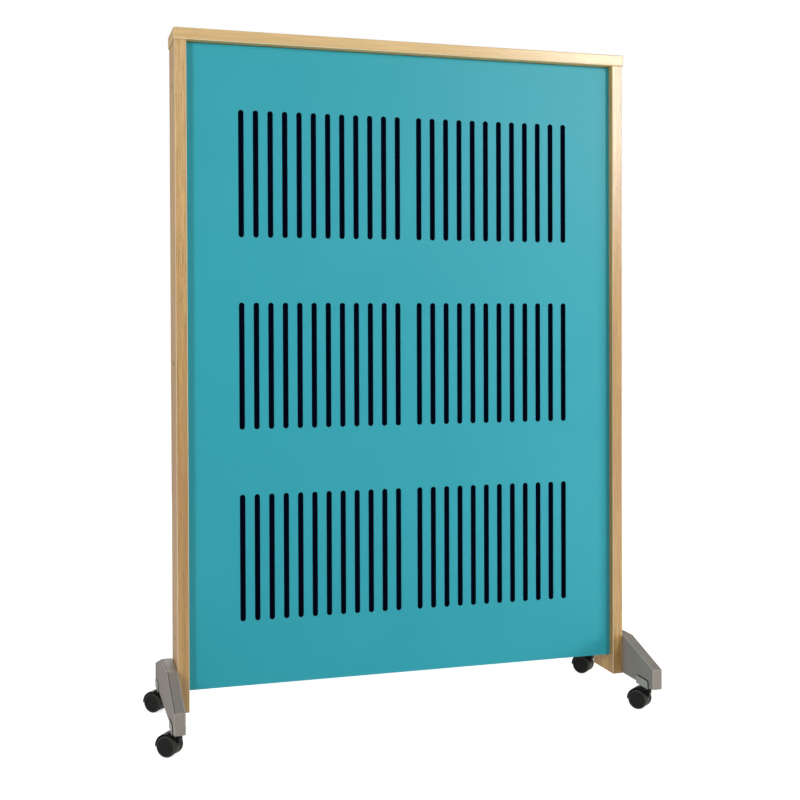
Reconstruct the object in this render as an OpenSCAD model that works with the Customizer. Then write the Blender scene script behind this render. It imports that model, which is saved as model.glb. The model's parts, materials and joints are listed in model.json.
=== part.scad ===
// Rolling partition: two wooden side boards under a cap rail carry a slotted panel on each face
// of a sound-absorbing core, and stand on two hollow cast feet with four twin-wheel swivel casters.
// Millimetres. X runs along the partition, Y from front to back, Z up.
// The origin is on the floor, midway between the side boards and midway through their depth.

/* [Overall size] */
// Width over the outer faces of the two side boards
overall_w = 1040; // [960:10:1400]
// Height from the floor to the top of the cap rail
overall_h = 1510; // [1400:10:1800]

/* [Side boards and cap rail] */
// Thickness of the side boards and of the cap rail
board_t = 25; // [20:1:30]
// Depth of the side boards, front to back
post_d = 106; // [98:2:140]
// How far the cap rail stands out past each side board
cap_over_end = 2; // [0:0.5:6]
// How far the cap rail stands out past the side boards at the front and at the back
cap_over_face = 4; // [0:0.5:10]
// Radius of the eased edges of the boards
edge_r = 2; // [0.5:0.5:4]

/* [Slotted panels] */
// Thickness of a slotted panel
panel_t = 8; // [6:1:12]
// How far a panel's face lies behind the edge of the side boards
panel_recess = 18; // [12:1:24]
// Height of a panel's lower edge above the lower end of the side boards
panel_rise = 42; // [20:1:80]
// Depth of the grooves in the side boards that hold the panels' edges
groove_d = 6; // [4:1:8]
// Clearance on each face of a panel in its grooves
groove_fit = 0.15; // [0.05:0.05:0.5]
// Gap between a panel's upper edge and the cap rail
cap_gap = 1; // [0.5:0.5:4]

/* [Slots] */
// Width of a slot
slot_w = 12; // [8:1:16]
// Length of a slot over its round ends
slot_l = 275; // [200:5:330]
// Distance from one slot to the next
slot_pitch = 32; // [24:1:34]
// Number of slots in each half of a row
slots_per_half = 12; // [6:1:12]
// Distance between the two slots on either side of the middle
half_gap = 50; // [36:1:54]
// Distance from one row of slots to the next
row_step = 416; // [385:1:420]

/* [Inner frame and core] */
// Width of the stiles and battens of the inner frame
batten_w = 40; // [34:1:48]
// Thickness of the black fleece behind each panel
fleece_t = 1; // [0.5:0.5:3]
// Diameter of the wooden dowels
dowel_d = 8; // [6:1:10]
// Length of the dowels in the inner frame
dowel_l = 50; // [40:2:60]
// Distance between the two dowels of a joint in the inner frame
dowel_pitch = 26; // [20:1:32]
// Length of the dowels between side boards and cap rail
cap_dowel_l = 36; // [30:2:44]
// How far those dowels reach into the cap rail
cap_dowel_in = 14; // [10:1:16]
// Distance between the two dowels in the top of a side board
cap_dowel_pitch = 60; // [40:2:76]

/* [Fasteners] */
// Shank diameter of the screws through the side boards
post_screw_d = 7; // [5:0.5:8]
// Length of the screws through the side boards
post_screw_l = 58; // [50:1:60]
// Head diameter of the screws through the side boards
post_screw_head = 10; // [9:0.5:14]
// Height of the lowest of those screws above the panels' lower edge
post_screw_low = 104; // [80:2:130]
// Depth of the highest of those screws below the cap rail
post_screw_high = 90; // [60:2:130]
// Shank diameter of the screws between top batten and cap rail
cap_screw_d = 5; // [4:0.5:6]
// How far those screws reach into the cap rail
cap_screw_in = 16; // [10:1:18]
// Distance between the screws between top batten and cap rail
cap_screw_pitch = 300; // [150:10:400]
// Shank diameter of the bolts that hold the feet
foot_bolt_d = 8; // [6:1:10]
// Head diameter of the bolts that hold the feet
foot_bolt_head = 13; // [12:0.5:16]
// Head height of the bolts that hold the feet
foot_bolt_head_h = 6; // [4:0.5:8]
// Distance between the two bolts of a foot
foot_bolt_pitch = 36; // [30:2:40]
// Height of the foot bolts above the underside of the foot
foot_bolt_rise = 62; // [50:1:70]
// Clearance round screws, bolts and dowels in their holes
hole_fit = 0.05; // [0.02:0.01:0.2]

/* [Feet] */
// Thickness of a foot, along the partition
foot_w = 24; // [20:1:30]
// Length of a foot, front to back
foot_l = 400; // [360:10:520]
// Height of a foot at its middle
foot_h = 90; // [84:1:120]
// Height of a foot at its front and back ends
foot_end_h = 45; // [40:1:60]
// Length of the level stretch on top of a foot
foot_top_l = 116; // [90:2:150]
// Wall thickness of the hollow casting
foot_wall = 3; // [2:0.5:5]
// Radius of the feet's outer edges
foot_edge_r = 2; // [1:0.5:4]
// Diameter of the bosses that take the foot bolts
foot_boss_d = 16; // [13:1:20]
// Thickness of the ribs across the hollow of a foot
foot_rib_t = 2.5; // [2:0.5:4]
// How far the ribs end above the underside of the foot
foot_rib_rise = 12; // [5:1:25]
// Distance of the seam line on top of a foot from its outer face
seam_in = 1.6; // [1:0.2:5]
// Width of the seam line
seam_w = 1.6; // [0.6:0.1:2]
// Depth of the seam line
seam_depth = 1.9; // [0.4:0.1:2]

/* [Caster sockets] */
// Distance from the end of a foot to the swivel axis of its caster
caster_inset = 48; // [42:1:70]
// Length of a caster socket, along the foot
socket_l = 55; // [44:1:64]
// How far the socket's cheeks stand out of the foot's side walls
cheek_proud = 2.5; // [1:0.5:4]
// Height of the cheeks above the underside of the foot
cheek_h = 15; // [10:1:24]
// Radius of the cheeks' upper corners
cheek_r = 5; // [2:0.5:8]
// How far the socket reaches below the underside of the foot
socket_drop = 3; // [2:0.5:8]
// Height of the socket's core above the underside of the foot
socket_core_h = 36; // [30:1:42]
// Open slit between the cheeks and the foot's side walls
slit = 2; // [0.5:0.1:2.5]
// Depth of the groove in the socket's core behind that slit
slit_depth = 3; // [1:0.5:4]

/* [Casters] */
// Wheel diameter
wheel_d = 44; // [40:1:54]
// Width of one wheel
wheel_w = 10.5; // [9.5:0.5:14]
// Gap between the two wheels of a caster
wheel_gap = 14; // [13:0.5:18]
// Distance from the swivel axis back to the axle
caster_trail = 18; // [16:1:20]
// Direction in which the front left caster is turned, as an angle about Z
fl_turn = -37; // [-180:1:180]
// Direction in which the front right caster is turned
fr_turn = -50; // [-180:1:180]
// Direction in which the back left caster is turned
bl_turn = -41; // [-180:1:180]
// Direction in which the back right caster is turned
br_turn = -49; // [-180:1:180]
// Gap between the wheels' treads and the hood
hood_gap = 1; // [0.6:0.1:2]
// Wall thickness of the hood
hood_t = 2.5; // [2:0.5:4]
// Where the hood's arc over the wheels begins, as an angle at the axle above the direction ahead
hood_from = 48; // [40:1:60]
// Where the hood's arc ends behind the wheels
hood_to = 184; // [170:1:195]
// Radius of the hood's outer edges
hood_edge_r = 2; // [1:0.5:2.5]
// Diameter of the hood's neck round the stem
neck_d = 18; // [16:0.5:20]
// Height of the neck's upright side
neck_h = 6; // [3:0.5:8]
// Height of the neck's top above the arc over the wheels
crown_step = 4.5; // [0.5:0.5:8]
// Gap between a wheel and the web between the two wheels
web_gap = 1; // [0.4:0.1:1]
// How far the drum between the wheels lies below their treads
drum_low = 0.6; // [0.4:0.2:4]
// Height of the drum's flat underside above the floor
drum_lift = 3.5; // [2:0.5:6]
// Axle diameter
axle_d = 6; // [4:0.5:8]
// How far the axle reaches into each wheel
axle_reach = 7; // [6:0.5:7.5]
// Thickness of a wheel's rim and of its disc
rim_t = 3.5; // [2.5:0.5:4]
// Wall thickness of a wheel's hub
hub_wall = 3.5; // [2:0.5:4]
// How far a wheel's disc lies below its rim
disc_dish = 0.8; // [0.4:0.1:1.2]
// Radius of a wheel's outer shoulder
shoulder_r = 2.5; // [1:0.5:3]
// Number of ribs inside a wheel
wheel_ribs = 6; // [4:1:10]
// Thickness of those ribs
wheel_rib_t = 1.4; // [1:0.1:2]
// Radial running clearance of wheels on the axle and of the hood on its stem
running_fit = 0.05; // [0.02:0.01:0.1]
// Gap between faces that turn past each other at the swivel
swivel_gap = 0.1; // [0.05:0.05:0.3]
// Thickness of the thrust washer between socket and hood
washer_t = 0.9; // [0.8:0.1:2]
// Diameter of the thrust washer
washer_d = 15; // [13:0.5:18]
// Diameter of the stem where the hood turns on it
stem_d = 8; // [6:0.5:8]
// Diameter of the stem where it sits in the socket
stem_plug_d = 10; // [9:0.5:12]
// Length of the stem in the socket
stem_plug_l = 25; // [18:1:28]
// Length of the stem in the hood
stem_run_l = 21.5; // [18:0.5:23]

/* [Hidden] */

// Colours
beech = "#D2B184";
pale_wood = "#C9A777";
turquoise = "#43A5B3";
fleece_black = "#0B0B14";
wool_grey = "#6E6A62";
cast_grey = "#8B8986";
socket_grey = "#A9ACA8";
steel = "#B4B6B8";
dark_steel = "#2E2E31";
caster_black = "#1C1B1C";

// Steps in a quarter of a rounded edge, and faces round a hull's circles
corner_steps = 4;
hull_fn = 64;

// Casters: the hood's top, the socket's underside and the height of the object above the floor
wheel_r = wheel_d / 2;
hood_r = wheel_r + hood_gap + hood_t;
hood_top_z = wheel_r + hood_r + crown_step;
socket_bottom_z = hood_top_z + swivel_gap + washer_t;
ground_gap = socket_bottom_z + socket_drop;
web_t = wheel_gap - 2 * web_gap;
hood_w = wheel_gap + 2 * wheel_w - 1;
boss_bottom_z = hood_top_z - stem_run_l;
stem_head_d = stem_d + 2;
stem_head_h = 1.5;
head_room_h = stem_head_h + 2;

// Side boards, cap rail and the opening between the boards
post_top_z = overall_h - board_t;
post_h = post_top_z - ground_gap;
post_x = (overall_w - board_t) / 2;
opening_w = overall_w - 2 * board_t;
cap_l = overall_w + 2 * cap_over_end;
cap_d = post_d + 2 * cap_over_face;

// Panels
panel_z0 = ground_gap + panel_rise;
panel_z1 = post_top_z - cap_gap;
panel_w = opening_w + 2 * groove_d - 1;
panel_y = post_d / 2 - panel_recess - panel_t / 2;
panel_mid_z = (panel_z0 + post_top_z) / 2;
slot_rows = 3;

// Inner frame: depth, inner width, and the middle heights of its four battens
core_d = post_d - 2 * (panel_recess + panel_t + fleece_t);
frame_in_w = opening_w - 2 * batten_w;
batten_z = [panel_z0 + batten_w / 2, panel_mid_z - row_step / 2,
    panel_mid_z + row_step / 2, post_top_z - batten_w / 2];

// Fasteners
post_screw_z = [panel_z0 + post_screw_low, (panel_z0 + post_screw_low + post_top_z
    - post_screw_high) / 2, post_top_z - post_screw_high];
head_sink = (post_screw_head - post_screw_d) / 2;
hex_key = 4;
cap_screw_head = 2 * cap_screw_d;
cap_screw_sink = 6;
foot_bolt_z = ground_gap + foot_bolt_rise;
bolt_bed = foot_bolt_head_h + 0.5;
foot_bolt_in = foot_wall + 13;

// Feet and sockets
foot_x = overall_w / 2 + foot_w / 2;
stem_y = foot_l / 2 - caster_inset;
channel_w = foot_w - 2 * foot_wall;
socket_w = foot_w + 2 * cheek_proud;

// ---------------------------------------------------------------- outlines

function unit(v) = v / norm(v);

// A corner of an outline, eased by an arc of radius r that touches both of its sides
function eased_corner(before, p, after, r) =
    let (u = unit(before - p), v = unit(after - p), half = acos(u * v) / 2,
         centre = p + unit(u + v) * r / sin(half),
         from = p + u * r / tan(half) - centre, to = p + v * r / tan(half) - centre,
         a0 = atan2(from[1], from[0]), turn = atan2(to[1], to[0]) - a0,
         sweep = turn > 180 ? turn - 360 : turn < -180 ? turn + 360 : turn)
    [for (i = [0:corner_steps]) centre + r * [cos(a0 + sweep * i / corner_steps),
                                              sin(a0 + sweep * i / corner_steps)]];

// An outline with every corner eased; radii holds one radius for each corner
function eased(points, radii) =
    let (n = len(points))
    [for (i = [0:n - 1])
        each (radii[i] > 0 ? eased_corner(points[(i + n - 1) % n], points[i],
                                          points[(i + 1) % n], radii[i]) : [points[i]])];

function same(r, n) = [for (i = [1:n]) r];

function rectangle(w, d) = [[-w / 2, -d / 2], [w / 2, -d / 2], [w / 2, d / 2], [-w / 2, d / 2]];

function eased_rectangle(w, d, r) = eased(rectangle(w, d), same(r, 4));

// A convex outline drawn in by d on every side
function drawn_in(points, d) =
    let (n = len(points))
    [for (i = [0:n - 1])
        let (u = unit(points[(i + n - 1) % n] - points[i]),
             v = unit(points[(i + 1) % n] - points[i]))
        points[i] + unit(u + v) * d / sin(acos(u * v) / 2)];

// ---------------------------------------------------------------- helpers

// Extrudes an outline of the Y-Z plane along X, w wide about the middle
module along_x(w) rotate([90, 0, 90]) linear_extrude(height = w, center = true) children();

// Extrudes an outline of the X-Z plane along Y, d deep about the middle
module along_y(d) rotate([90, 0, 0]) linear_extrude(height = d, center = true) children();

// A round bar along X from x0 to x1
module bar_x(d, x0, x1, fn = 32)
    translate([min(x0, x1), 0, 0]) rotate([0, 90, 0])
        cylinder(d = d, h = abs(x1 - x0), $fn = fn);

// A dowel about the origin along Z, with chamfered ends
module dowel(l) {
    chamfer = 1;
    r = dowel_d / 2;
    rotate_extrude($fn = 32)
        polygon([[0, -l / 2], [r - chamfer, -l / 2], [r, -l / 2 + chamfer],
                 [r, l / 2 - chamfer], [r - chamfer, l / 2], [0, l / 2]]);
}

function caster_turn(sx, sy) = sy < 0 ? (sx < 0 ? fl_turn : fr_turn) : (sx < 0 ? bl_turn : br_turn);

// Puts a caster's pieces, drawn about their swivel axis, under the foot: sx and sy are -1 or 1
module at_caster(sx, sy)
    translate([sx * foot_x, sy * stem_y, 0]) rotate([0, 0, caster_turn(sx, sy)]) children();

// ---------------------------------------------------------------- side boards and cap rail

// The stopped grooves of a side board, the beds of its bolts and screws and its dowel holes,
// for the board at +X
module side_board_cuts() {
    inner_x = opening_w / 2;
    for (side = [-1, 1]) {
        translate([inner_x - 1, side * panel_y - panel_t / 2 - groove_fit, panel_z0])
            cube([groove_d + 1, panel_t + 2 * groove_fit, post_h]);
        translate([0, side * foot_bolt_pitch / 2, foot_bolt_z]) {
            bar_x(foot_bolt_d + 2 * hole_fit, inner_x - 1, overall_w / 2 + 1);
            bar_x(foot_bolt_head + 2 * hole_fit, inner_x - 1, inner_x + bolt_bed);
        }
        translate([post_x, side * cap_dowel_pitch / 2, post_top_z - cap_dowel_l + cap_dowel_in])
            cylinder(d = dowel_d + 2 * hole_fit, h = cap_dowel_l, $fn = 32);
    }
    for (z = post_screw_z) translate([0, 0, z]) {
        bar_x(post_screw_d + 2 * hole_fit, inner_x - 1, overall_w / 2 + 1);
        translate([overall_w / 2 - head_sink, 0, 0]) rotate([0, 90, 0])
            cylinder(r1 = post_screw_d / 2 + hole_fit, r2 = post_screw_head / 2 + hole_fit + 1,
                     h = head_sink + 1, $fn = 32);
    }
}

module side_board(side) {
    color(beech) mirror([side < 0 ? 1 : 0, 0, 0]) difference() {
        translate([post_x, 0, ground_gap]) linear_extrude(height = post_h)
            polygon(eased_rectangle(board_t, post_d, edge_r));
        side_board_cuts();
    }
}

module cap_rail() {
    color(beech) difference() {
        translate([0, 0, post_top_z + board_t / 2]) intersection() {
            along_x(cap_l) polygon(eased_rectangle(cap_d, board_t, edge_r));
            linear_extrude(height = board_t, center = true)
                polygon(eased_rectangle(cap_l, cap_d, edge_r));
        }
        for (sx = [-1, 1], sy = [-1, 1])
            translate([sx * post_x, sy * cap_dowel_pitch / 2, post_top_z - 1])
                cylinder(d = dowel_d + 2 * hole_fit, h = cap_dowel_in + 1 + hole_fit, $fn = 32);
        for (i = [-1:1])
            translate([i * cap_screw_pitch, 0, post_top_z - 1])
                cylinder(d = cap_screw_d + 2 * hole_fit, h = cap_screw_in + 1 + hole_fit, $fn = 32);
    }
}

module cap_dowels() {
    color(pale_wood) for (sx = [-1, 1], sy = [-1, 1])
        translate([sx * post_x, sy * cap_dowel_pitch / 2,
                   post_top_z + cap_dowel_in - cap_dowel_l / 2])
            dowel(cap_dowel_l);
}

// ---------------------------------------------------------------- slotted panels and core

module slot() {
    square([slot_w, slot_l - slot_w], center = true);
    for (end = [-1, 1]) translate([0, end * (slot_l - slot_w) / 2]) circle(d = slot_w, $fn = 32);
}

// Three rows of slots, each row in two halves about the middle of the panel
module slot_pattern() {
    for (row = [0:slot_rows - 1], half = [-1, 1], i = [0:slots_per_half - 1])
        translate([half * (half_gap / 2 + i * slot_pitch),
                   panel_mid_z + (row - (slot_rows - 1) / 2) * row_step]) slot();
}

module panel(side) {
    color(turquoise) translate([0, side * panel_y, 0]) along_y(panel_t) difference() {
        translate([-panel_w / 2, panel_z0]) square([panel_w, panel_z1 - panel_z0]);
        slot_pattern();
    }
}

// The fleece is glued to the panel's inner face and lies on the inner frame
module fleece(side) {
    edge = 2;
    color(fleece_black) translate([0, side * (core_d + fleece_t) / 2, 0]) along_y(fleece_t)
        translate([-opening_w / 2 + edge, panel_z0])
            square([opening_w - 2 * edge, panel_z1 - panel_z0]);
}

// Holes or dowels of the inner frame, drawn at the four battens' ends on the +X side
module frame_dowel_places()
    for (z = batten_z, dy = [-1, 1]) translate([frame_in_w / 2, dy * dowel_pitch / 2, z])
        rotate([0, 90, 0]) children();

module frame_dowel_hole() cylinder(d = dowel_d + 2 * hole_fit, h = dowel_l + 1, center = true, $fn = 32);

module stile(side) {
    color(pale_wood) mirror([side < 0 ? 1 : 0, 0, 0]) difference() {
        translate([frame_in_w / 2, -core_d / 2, panel_z0])
            cube([batten_w, core_d, post_top_z - panel_z0]);
        frame_dowel_places() frame_dowel_hole();
        for (z = post_screw_z) translate([0, 0, z])
            bar_x(post_screw_d + 2 * hole_fit, overall_w / 2 - post_screw_l - 1, opening_w / 2 + 1);
    }
}

module batten(index) {
    color(pale_wood) difference() {
        translate([-frame_in_w / 2, -core_d / 2, batten_z[index] - batten_w / 2])
            cube([frame_in_w, core_d, batten_w]);
        for (side = [0, 1]) mirror([side, 0, 0]) frame_dowel_places() frame_dowel_hole();
        if (index == len(batten_z) - 1) for (i = [-1:1])
            translate([i * cap_screw_pitch, 0, 0]) {
                translate([0, 0, post_top_z - batten_w - 1])
                    cylinder(d = cap_screw_d + 2 * hole_fit, h = batten_w + 2, $fn = 32);
                translate([0, 0, post_top_z - batten_w - 1])
                    cylinder(d = cap_screw_head + 2 * hole_fit, h = cap_screw_sink + 1, $fn = 32);
            }
    }
}

module frame_dowels() {
    color(pale_wood) for (side = [0, 1]) mirror([side, 0, 0]) frame_dowel_places() dowel(dowel_l);
}

// A slab of absorber fills the bay above the batten of this number
module absorber(index) {
    color(wool_grey) translate([-frame_in_w / 2, -core_d / 2, batten_z[index] + batten_w / 2])
        cube([frame_in_w, core_d, batten_z[index + 1] - batten_z[index] - batten_w]);
}

// ---------------------------------------------------------------- fasteners

// A countersunk screw along -X, its head's face at the origin, with a hexagon socket
module countersunk_screw() {
    rotate([0, -90, 0]) difference() {
        rotate_extrude($fn = 32)
            polygon([[0, 0], [post_screw_head / 2, 0], [post_screw_d / 2, head_sink],
                     [post_screw_d / 2, post_screw_l - 3], [0.5, post_screw_l],
                     [0, post_screw_l]]);
        translate([0, 0, -1]) cylinder(d = hex_key, h = 3.5, $fn = 6);
    }
}

module side_board_screws() {
    color(dark_steel) for (side = [0, 1], z = post_screw_z) mirror([side, 0, 0])
        translate([overall_w / 2, 0, z]) countersunk_screw();
}

module cap_screws() {
    head_z = post_top_z - batten_w + cap_screw_sink;
    head_h = cap_screw_d * 0.7;
    color(steel) for (i = [-1:1]) translate([i * cap_screw_pitch, 0, head_z]) difference() {
        rotate_extrude($fn = 32)
            polygon([[0, -head_h], [cap_screw_head / 2 - 1, -head_h],
                     [cap_screw_head / 2, -head_h + 1], [cap_screw_head / 2, 0],
                     [cap_screw_d / 2, 0],
                     [cap_screw_d / 2, batten_w - cap_screw_sink + cap_screw_in - 2],
                     [0.4, batten_w - cap_screw_sink + cap_screw_in],
                     [0, batten_w - cap_screw_sink + cap_screw_in]]);
        translate([0, 0, -head_h - 1]) cylinder(d = hex_key - 1, h = 3, $fn = 6);
    }
}

// The head sits in its bed in the side board's inner face, the shank runs into the foot's boss
module foot_bolts() {
    seat_x = opening_w / 2 + bolt_bed;
    color(steel) for (side = [0, 1], sy = [-1, 1]) mirror([side, 0, 0])
        translate([0, sy * foot_bolt_pitch / 2, foot_bolt_z]) difference() {
            union() {
                bar_x(foot_bolt_head, seat_x - foot_bolt_head_h, seat_x);
                bar_x(foot_bolt_d, seat_x - 1, overall_w / 2 + foot_bolt_in);
            }
            bar_x(6, seat_x - foot_bolt_head_h - 1, seat_x - foot_bolt_head_h + 4, 6);
        }
}

// ---------------------------------------------------------------- feet

// Corners of a foot's side, seen along X: level underside, upright ends, sloping backs
function foot_corners() =
    [[-foot_l / 2, 0], [foot_l / 2, 0], [foot_l / 2, foot_end_h], [foot_top_l / 2, foot_h],
     [-foot_top_l / 2, foot_h], [-foot_l / 2, foot_end_h]];

// The casting's outside: layers of the side outline, each drawn in a little further, make
// the rounded edges between the side faces and the top
module foot_outside() {
    r = foot_edge_r;
    hull() for (a = [0, 30, 60, 90])
        along_x(foot_w - 2 * r * (1 - sin(a)))
            polygon(eased(drawn_in(foot_corners(), r * (1 - cos(a))), same(r, 6)));
}

// The hollow is open below, and its roof follows the outside at the wall's thickness
module foot_hollow() {
    c = drawn_in(foot_corners(), foot_wall);
    along_x(channel_w)
        polygon([[c[0][0], -1], [c[1][0], -1], c[2], c[3], c[4], c[5]]);
}

// Ribs across the hollow, between the bolts' bosses and the caster sockets
module foot_ribs() {
    near = foot_top_l / 2;
    far = (near + stem_y - socket_l / 2) / 2;
    intersection() {
        for (side = [-1, 1], y = [near, far])
            translate([-foot_w / 2, side * y - foot_rib_t / 2, foot_rib_rise])
                cube([foot_w, foot_rib_t, foot_h]);
        along_x(foot_w - foot_wall) polygon(drawn_in(foot_corners(), foot_wall / 2));
    }
}

// The seam line near the outer face, along the level top and down the two slopes
module foot_seam() {
    above = drawn_in(foot_corners(), -1);
    bed = drawn_in(foot_corners(), seam_depth);
    translate([foot_w / 2 - seam_in - seam_w / 2, 0, 0]) along_x(seam_w)
        polygon([above[2], above[3], above[4], above[5], bed[5], bed[4], bed[3], bed[2]]);
}

// Outline of a socket's cheeks with the given gap round it, open downwards
function cheek_outline(gap, drop) =
    eased([[-socket_l / 2 - gap, -drop], [socket_l / 2 + gap, -drop],
           [socket_l / 2 + gap, cheek_h + gap], [-socket_l / 2 - gap, cheek_h + gap]],
          [0, 0, cheek_r + gap, cheek_r + gap]);

module foot(side) {
    color(cast_grey) translate([side * foot_x, 0, ground_gap]) mirror([side < 0 ? 1 : 0, 0, 0])
        difference() {
            union() {
                difference() {
                    foot_outside();
                    foot_hollow();
                }
                foot_ribs();
                for (sy = [-1, 1]) translate([0, sy * foot_bolt_pitch / 2, foot_bolt_rise])
                    bar_x(foot_boss_d, -foot_w / 2 + 1, foot_w / 2 - foot_wall + 1);
            }
            foot_seam();
            for (sy = [-1, 1]) {
                translate([0, sy * foot_bolt_pitch / 2, foot_bolt_rise])
                    bar_x(foot_bolt_d + 2 * hole_fit, -foot_w / 2 - 1,
                          -foot_w / 2 + foot_bolt_in + hole_fit);
                translate([0, sy * stem_y, 0])
                    along_x(2 * foot_w) polygon(cheek_outline(slit, 1));
            }
        }
}

// ---------------------------------------------------------------- caster sockets and stems

// The core fills the foot's hollow between its walls, grooved where the slit lies before it,
// and the cheeks show in the notches
module socket(sx, sy) {
    color(socket_grey) translate([sx * foot_x, sy * stem_y, ground_gap]) difference() {
        union() {
            along_x(socket_w) polygon(cheek_outline(0, socket_drop));
            translate([-channel_w / 2, -socket_l / 2, -socket_drop])
                cube([channel_w, socket_l, cheek_h + socket_drop - cheek_r]);
            translate([-channel_w / 2 + slit_depth, -socket_l / 2, -socket_drop])
                cube([channel_w - 2 * slit_depth, socket_l, socket_core_h + socket_drop]);
            translate([-channel_w / 2, -socket_l / 2, cheek_h + slit])
                cube([channel_w, socket_l, socket_core_h - cheek_h - slit]);
        }
        translate([0, 0, -socket_drop - 1])
            cylinder(d = stem_plug_d + 2 * hole_fit, h = stem_plug_l + 1 + hole_fit, $fn = 48);
    }
}

// A turned, blackened pin: plug in the socket, running length in the hood, head below its boss
module stem(sx, sy) {
    plug_r = stem_plug_d / 2;
    run_r = stem_d / 2;
    head_z = boss_bottom_z - swivel_gap;
    color(dark_steel) at_caster(sx, sy) rotate_extrude($fn = 48)
        polygon([[0, head_z - stem_head_h], [stem_head_d / 2 - 0.5, head_z - stem_head_h],
                 [stem_head_d / 2, head_z - stem_head_h + 0.5], [stem_head_d / 2, head_z],
                 [run_r, head_z], [run_r, socket_bottom_z], [plug_r, socket_bottom_z],
                 [plug_r, socket_bottom_z + stem_plug_l - 1],
                 [plug_r - 1, socket_bottom_z + stem_plug_l], [0, socket_bottom_z + stem_plug_l]]);
}

module thrust_washers() {
    color(socket_grey) for (sx = [-1, 1], sy = [-1, 1]) at_caster(sx, sy)
        translate([0, 0, socket_bottom_z - washer_t]) difference() {
            cylinder(d = washer_d, h = washer_t, $fn = 48);
            translate([0, 0, -1]) cylinder(d = stem_d + 2 * hole_fit, h = washer_t + 2, $fn = 48);
        }
}

// ---------------------------------------------------------------- casters
// Drawn about the swivel axis: the wheels trail towards -X and the axle runs along Y.

module at_axle() translate([-caster_trail, 0, wheel_r]) children();

// Moves a round piece from about Z to about the axle
module about_axle() at_axle() rotate([-90, 0, 0]) children();

// The mudguard over both wheels, an arc about the axle from the trailing side over the top.
// Its inner face is left for the room of the wheels to cut.
module mudguard() {
    half = hood_w / 2;
    inner = wheel_r - 1;
    at_axle() rotate([90, 0, 0]) rotate([0, 0, hood_from])
        rotate_extrude(angle = hood_to - hood_from, $fn = 96)
            polygon(eased([[inner, -half], [hood_r, -half], [hood_r, half], [inner, half]],
                          [0, hood_edge_r, hood_edge_r, 0]));
}

// The neck round the stem slopes back into the mudguard's crown, which is a little wider
module neck_and_crown() {
    crown_w = neck_d + 6;
    hull() {
        translate([0, 0, hood_top_z - neck_h]) cylinder(d = neck_d, h = neck_h, $fn = hull_fn);
        at_axle() rotate([90, 0, 0])
            cylinder(r = hood_r - 0.4, h = crown_w, center = true, $fn = 2 * hull_fn);
    }
}

// What the neck's hull may fill: above the wheels' treads and ahead of the mudguard's tail
module crown_space() {
    tail = hood_r * 0.6;
    translate([-caster_trail - tail, -hood_w / 2, wheel_r + hood_r * 0.55])
        cube([tail + caster_trail + neck_d, hood_w, hood_r]);
}

// The web between the wheels carries the axle and the stem's boss. Its drum fills the space
// between the wheels nearly out to their treads, and is cut flat above the floor.
module web() {
    from = 24;
    to = hood_to + 4;
    steps = 24;
    r = hood_r - hood_t / 2;
    at_axle() along_y(web_t) {
        polygon([[0, 0], for (i = [0:steps]) let (a = from + (to - from) * i / steps)
                 r * [cos(a), sin(a)]]);
        intersection() {
            circle(r = wheel_r - drum_low, $fn = 96);
            translate([-wheel_r, drum_lift - wheel_r]) square(2 * wheel_r);
        }
    }
    translate([0, 0, boss_bottom_z]) cylinder(d = web_t, h = stem_run_l - neck_h / 2, $fn = 48);
}

module hood(sx, sy) {
    color(caster_black) at_caster(sx, sy) difference() {
        union() {
            mudguard();
            intersection() {
                neck_and_crown();
                crown_space();
            }
            web();
        }
        // Room for the wheels on both sides of the web
        for (side = [-1, 1]) at_axle() rotate([side * 90, 0, 0])
            translate([0, 0, web_t / 2])
                cylinder(r = wheel_r + hood_gap, h = wheel_w + web_gap + 5, $fn = 96);
        // Bore for the stem, notch below it for the stem's head, bore for the axle
        translate([0, 0, boss_bottom_z - 1])
            cylinder(d = stem_d + 2 * running_fit, h = stem_run_l + 2, $fn = 48);
        translate([-stem_head_d / 2 - 0.5, -web_t, boss_bottom_z - head_room_h])
            cube([hood_r, 2 * web_t, head_room_h]);
        at_axle() rotate([90, 0, 0])
            cylinder(d = axle_d + 2 * hole_fit, h = 2 * wheel_gap, center = true, $fn = 48);
    }
}

module axle(sx, sy) {
    half = wheel_gap / 2 + axle_reach;
    r = axle_d / 2;
    color(dark_steel) at_caster(sx, sy) about_axle() rotate_extrude($fn = 48)
        polygon([[0, -half], [r - 0.5, -half], [r, -half + 0.5], [r, half - 0.5],
                 [r - 0.5, half], [0, half]]);
}

// Half section of a wheel: rim with rounded shoulders, dished disc, hub with a blind bore.
// The first coordinate is the distance from the axle, the second runs out from the web.
function wheel_section() =
    let (rim_in = wheel_r - rim_t, disc_in = wheel_w - rim_t, hub_r = axle_d / 2 + hub_wall,
         bore_r = axle_d / 2 + running_fit, bore_l = axle_reach + 0.5, inner_edge_r = 1,
         face = wheel_w - disc_dish)
    concat([[0, bore_l], [bore_r, bore_l], [bore_r, 0], [hub_r, 0], [hub_r, disc_in],
            [rim_in, disc_in], [rim_in, 0]],
           eased_corner([rim_in, 0], [wheel_r, 0], [wheel_r, wheel_w], inner_edge_r),
           eased_corner([wheel_r, 0], [wheel_r, wheel_w], [rim_in, wheel_w], shoulder_r),
           [[rim_in - disc_dish, wheel_w], [rim_in - 2 * disc_dish, face], [hub_r, face],
            [hub_r - 1, face + disc_dish / 2], [0, face + disc_dish / 2]]);

// Each rib runs from inside the hub's wall into the rim, and up into the disc
module wheel_body() {
    from_r = axle_d / 2 + hub_wall / 2;
    rib_low = 2;
    rotate_extrude($fn = 96) polygon(wheel_section());
    for (i = [0:wheel_ribs - 1]) rotate([0, 0, i * 360 / wheel_ribs])
        translate([from_r, -wheel_rib_t / 2, rib_low])
            cube([wheel_r - rim_t / 2 - from_r, wheel_rib_t, wheel_w - rim_t / 2 - rib_low]);
}

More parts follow.
